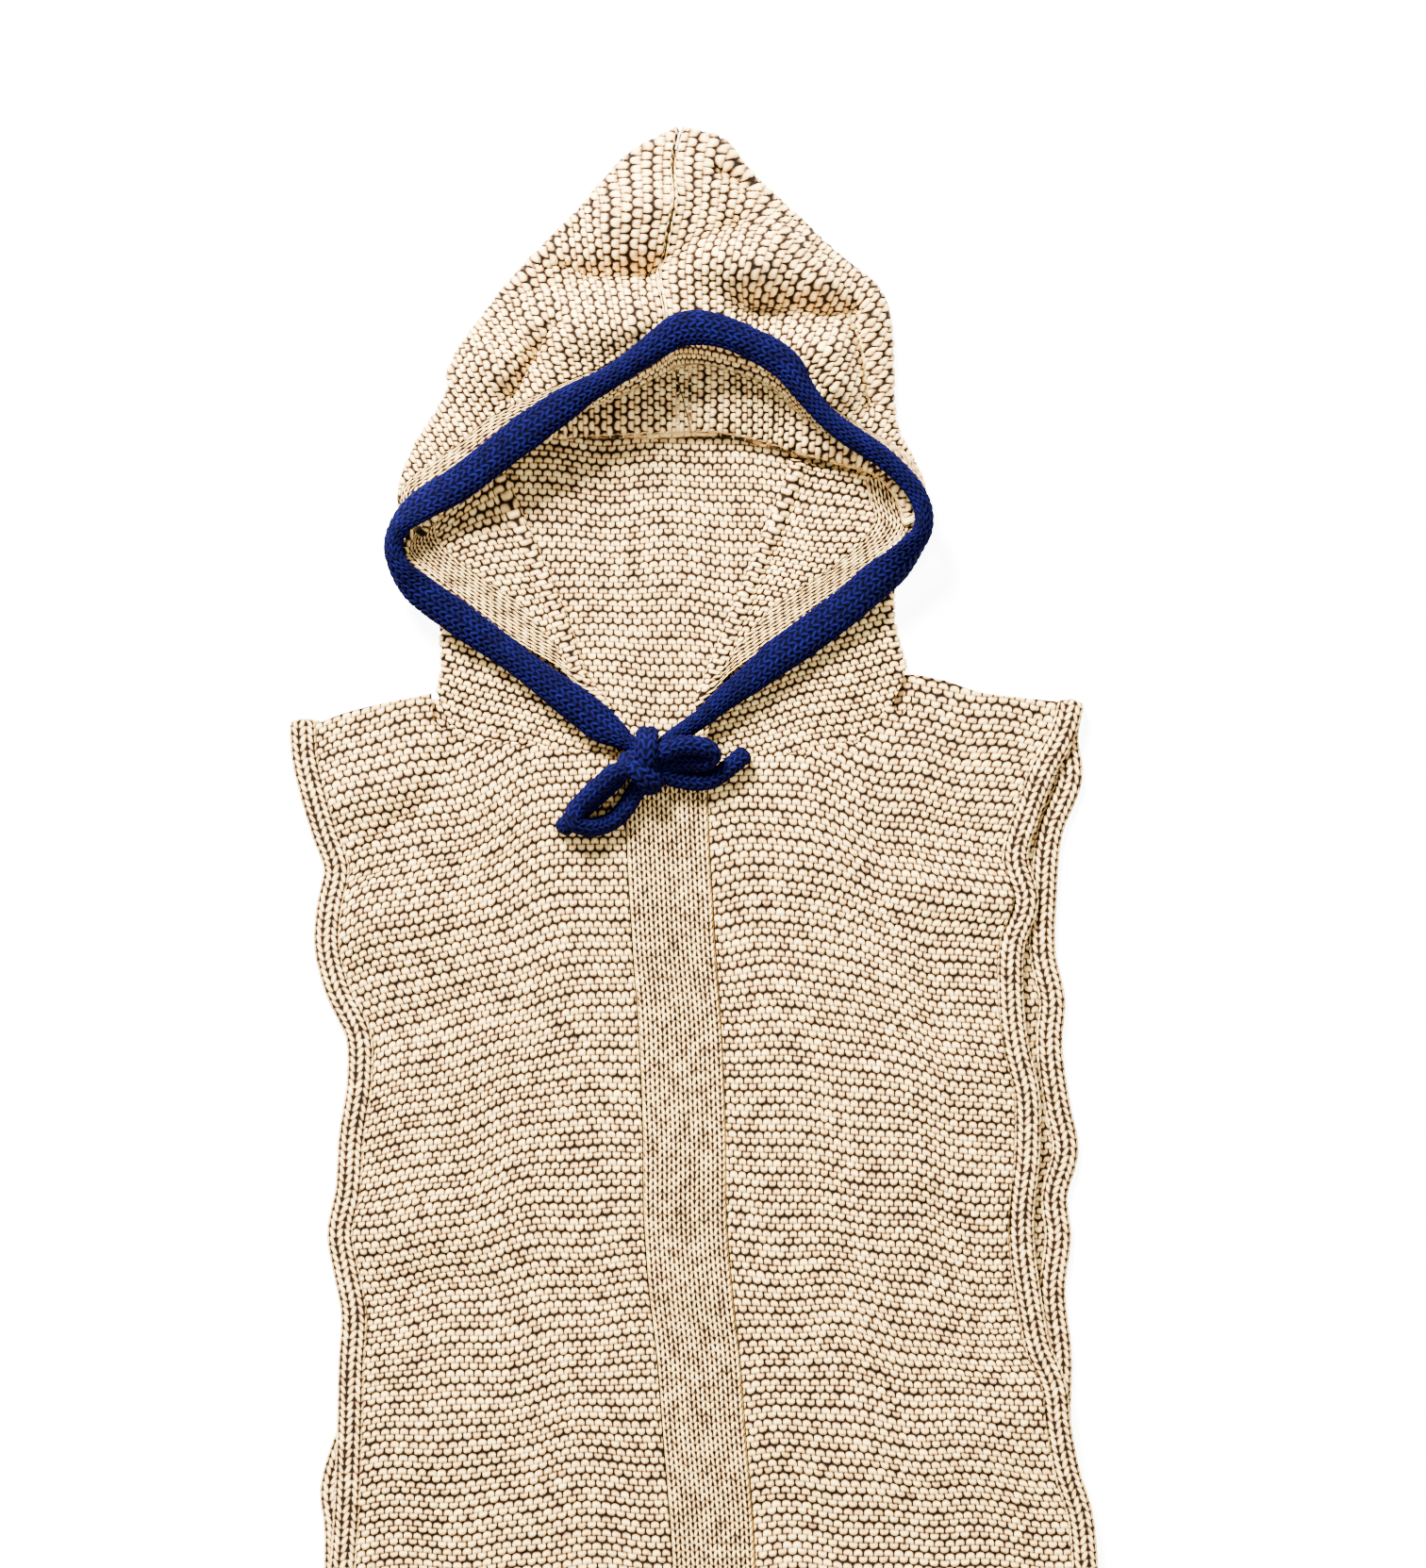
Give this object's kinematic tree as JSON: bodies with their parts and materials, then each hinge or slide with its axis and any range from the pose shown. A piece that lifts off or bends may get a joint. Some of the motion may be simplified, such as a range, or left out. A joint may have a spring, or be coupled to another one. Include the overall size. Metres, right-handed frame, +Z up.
{
  "type": "hooded vest",
  "caption": "Sleeveless hand-knitted cotton vest with a hood, open armhole sides, a smooth strip down the front and a blue tubular edging tied in a bow, laid flat on its back.",
  "frame": {"origin": "middle of the laid garment on the surface it lies on, at the bottom of its box", "axes": "+Y from the hem towards the hood's tip, +X towards the wearer's left, +Z up from the surface"},
  "size_m": [0.4273, 0.9086, 0.0459],
  "materials": {
    "beige_knit": "matt cream-beige cotton knitting",
    "navy_knit": "matt deep blue cotton knitting"
  },
  "bodies": {
    "root": {"back": "beige_knit", "back_band_right": "beige_knit", "back_band_left": "beige_knit", "front_right": "beige_knit", "front_left": "beige_knit", "front_strip": "beige_knit", "front_band_right": "beige_knit", "front_band_left": "beige_knit", "hood_back": "beige_knit", "hood_neck_right": "beige_knit", "hood_neck_left": "beige_knit", "hood_inside_right": "beige_knit", "hood_inside_left": "beige_knit", "hood_band_inside_right": "beige_knit", "hood_band_inside_left": "beige_knit", "hood_crown_right": "beige_knit", "hood_crown_left": "beige_knit", "hood_band_right": "beige_knit", "hood_band_left": "beige_knit", "hood_edging": "navy_knit", "tie_knot": "navy_knit", "tie_loop_right": "navy_knit", "tie_end_right": "navy_knit", "tie_loop_left": "navy_knit", "tie_end_left": "navy_knit"}
  },
  "joints": []
}
